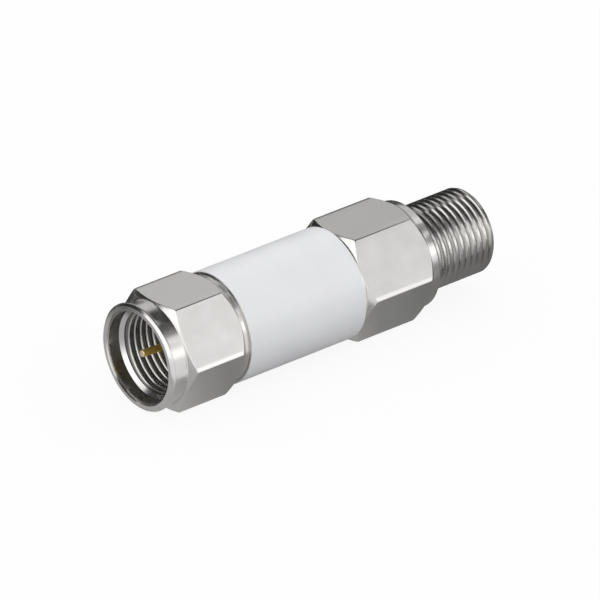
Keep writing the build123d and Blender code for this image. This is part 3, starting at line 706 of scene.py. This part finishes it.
turned_piece("tube_sleeve", tube_outline, round_turn, [turned_nickel], "body", "housing_tube")


# Label
# A strip of satin coated white paper, stuck round the tube, its two ends meeting at a narrow seam
# underneath. It carries no words.
label_front = tube_low.x + 0.005 * mm
label_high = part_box("label")[1]
label_rear, label_radius = label_high.x, label_high.z
label_inner_radius = tube_high.z + 0.002 * mm
label_seam_half = 1.16
label_steps = 120
label_span = 360 - 2 * label_seam_half
label_turn = [(180 + label_seam_half + label_span * k / label_steps, 0) for k in range(label_steps + 1)]
PAPER = 0


def label_outline(angle, reach):
    """The thickness of the paper, from edge to edge."""
    return eased([
        (label_front, label_inner_radius, 0, PAPER),
        (label_front, label_radius, crisp_edge, PAPER),
        (label_rear, label_radius, thin_edge, PAPER),
        (label_rear, label_inner_radius, 0, PAPER),
    ])


paper_dark, paper_light = (0.71, 0.715, 0.73), (0.84, 0.843, 0.855)
coated_paper, tree = empty_material("satin_label_paper")
at = object_place(tree)
grain = noise(tree, at, 7000.0, 4.0, 0.7)
cloud = noise(tree, at, 260.0, 3.0)
shade = worked(tree, "ADD", worked(tree, "MULTIPLY", grain, 0.5), worked(tree, "MULTIPLY", cloud, 0.5))
surfaced(
    tree,
    colour=mixed(tree, shade, paper_dark, paper_light),
    roughness=spread(tree, cloud, 0.36, 0.5),
    height=grain,
    depth=0.0015 * mm,
)
turned_piece("label_strip", label_outline, label_turn, [coated_paper], "body", "label")


# Centre pin
# The signal pin in the mouth of the nut, a wire with thin gold coloured plate and a paler sheared
# tip, bent up a little towards it. A collar holds it in the plug's insulating bead.
pin_low, pin_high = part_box("centre_pin")
bead_front, bead_rear = (corner.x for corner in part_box("plug_insulator"))
pin_radius = 0.4 * mm
pin_tip_radius = pin_radius * 0.8
pin_tip_start = pin_low.x + 0.01 * mm
pin_tip_end = pin_low.x + 0.07 * mm
pin_tip_slant = 0.03 * mm
pin_collar_radius = 0.65 * mm
pin_bend_start = pin_low.x + 3.4 * mm
pin_bend_slope = 0.1
pin_turn = [(7.5 * k, 0) for k in range(49)]
WIRE, CUT = 0, 1


def pin_outline(angle, reach):
    """The section of the pin, its tip cut a little aslant."""
    slant = pin_tip_slant * (1 + cos(radians(angle)))
    return eased([
        (pin_tip_start + slant, 0, 0, CUT),
        (pin_tip_start + slant, pin_tip_radius, step_edge, CUT),
        (pin_tip_end + slant, pin_radius, step_edge, WIRE),
        (bead_front, pin_radius, thin_edge, WIRE),
        (bead_front, pin_collar_radius, thin_edge, WIRE),
        (bead_rear, pin_collar_radius, thin_edge, WIRE),
        (bead_rear, pin_radius, thin_edge, WIRE),
        (pin_high.x, pin_radius, thin_edge, WIRE),
        (pin_high.x, 0, 0, WIRE),
    ])


gold_wire = plated_metal(
    "gold_pin_plate", lathe_marks, fineness=12000, dark=(0.92, 0.62, 0.1), light=(1.0, 0.8, 0.28),
    smooth=0.36, rough=0.54, depth=0.001 * mm,
)
cut_tip = plated_metal(
    "sheared_pin_tip", drawn_marks, fineness=9000, dark=(0.84, 0.7, 0.42), light=(1.0, 0.9, 0.66),
    smooth=0.3, rough=0.42, depth=0.001 * mm,
)
signal_pin = turned_piece(
    "signal_pin", pin_outline, pin_turn, [gold_wire, cut_tip], "body", "centre_pin"
)
for vertex in signal_pin.data.vertices:
    vertex.co.z += max(pin_bend_start - vertex.co.x, 0) * pin_bend_slope


# Plug body and retaining ring
# The turned core that the nut runs on, seen at the bottom of the nut, and the sprung bronze ring
# between them. Both are hidden but for the ground face.
def refinish(material, *nodes):
    """Gives pieces that keep the shape of their solids a finish."""
    for name in nodes:
        for held in frame["nodes"][name].material_slots:
            held.material = material


spring_bronze = plated_metal(
    "spring_bronze", drawn_marks, fineness=8000, dark=(0.5, 0.34, 0.2), light=(0.72, 0.52, 0.32),
    smooth=0.25, rough=0.4, depth=0.001 * mm,
)
refinish(turned_nickel, "plug_body")
refinish(spring_bronze, "retaining_ring")


# Insulators and socket contact
# Moulded beads of natural white plastic hold the pin and the sprung contact on the axis. The
# contact is a slotted barrel with gold coloured plate, seen through the entry hole.
bead_dark, bead_light = (0.74, 0.73, 0.69), (0.88, 0.87, 0.84)
bead_plastic, tree = empty_material("natural_bead_plastic")
cloud = noise(tree, object_place(tree), 700.0, 4.0)
bead_surface = surfaced(
    tree, colour=mixed(tree, cloud, bead_dark, bead_light), roughness=0.42, height=cloud, depth=0.004 * mm
)
bead_surface.inputs["Subsurface Weight"].default_value = 0.15
bead_surface.inputs["Subsurface Radius"].default_value = (0.8 * mm, 0.7 * mm, 0.6 * mm)
refinish(bead_plastic, "plug_insulator", "face_insulator", "rear_insulator")
refinish(gold_wire, "socket_contact")


# Circuit board and its parts
# The amplifier proper, sealed in the tube: a glass fibre strip with copper, chip parts, moulded
# packages, wound chokes and solder.
roughness_either_way = 0.08


def grained_finish(name, dark, light, roughness, metallic, scale):
    """A dull or bright surface with fine grain, for the small parts inside."""
    material, tree = empty_material(name)
    grain = noise(tree, object_place(tree), scale, 4.0, 0.6)
    surfaced(
        tree,
        colour=mixed(tree, grain, dark, light),
        roughness=spread(tree, grain, roughness - roughness_either_way, roughness + roughness_either_way),
        height=grain,
        depth=0.002 * mm,
        metallic=metallic,
    )
    return material


# Name, dark and light colour, roughness, share of metal and scale of the grain, and the pieces in it
board_finishes = (
    ("green_laminate", (0.03, 0.16, 0.07), (0.06, 0.26, 0.12), 0.4, 0.0, 2500, ["circuit_board"]),
    ("bare_copper", (0.55, 0.3, 0.18), (0.8, 0.5, 0.32), 0.35, 1.0, 2500, ["copper_tracks"]),
    ("tan_ceramic", (0.42, 0.3, 0.19), (0.6, 0.45, 0.3), 0.5, 0.0, 3500, ["chip_capacitor_bodies"]),
    (
        "black_moulding", (0.015, 0.015, 0.017), (0.05, 0.05, 0.055), 0.5, 0.0, 4500,
        ["chip_resistor_bodies", "gain_transistors", "voltage_regulator", "surge_diode"],
    ),
    (
        "tinned_leads", (0.6, 0.6, 0.58), (0.82, 0.82, 0.8), 0.38, 1.0, 4000,
        ["chip_capacitor_ends", "chip_resistor_ends", "gain_transistor_leads", "regulator_leads",
         "surge_diode_leads", "tantalum_leads", "choke_feet"],
    ),
    ("yellow_moulding", (0.62, 0.42, 0.07), (0.85, 0.62, 0.14), 0.45, 0.0, 3500, ["tantalum_capacitor"]),
    ("dark_ferrite", (0.04, 0.04, 0.045), (0.1, 0.1, 0.11), 0.6, 0.0, 5000, ["choke_cores"]),
    ("coil_enamel", (0.5, 0.2, 0.07), (0.78, 0.38, 0.16), 0.28, 1.0, 3000, ["choke_windings"]),
    ("bright_solder", (0.55, 0.55, 0.55), (0.8, 0.8, 0.79), 0.25, 1.0, 2000, ["solder_joints"]),
)
for name, dark, light, roughness, metallic, scale, nodes in board_finishes:
    refinish(grained_finish(name, dark, light, roughness, metallic, scale), *nodes)
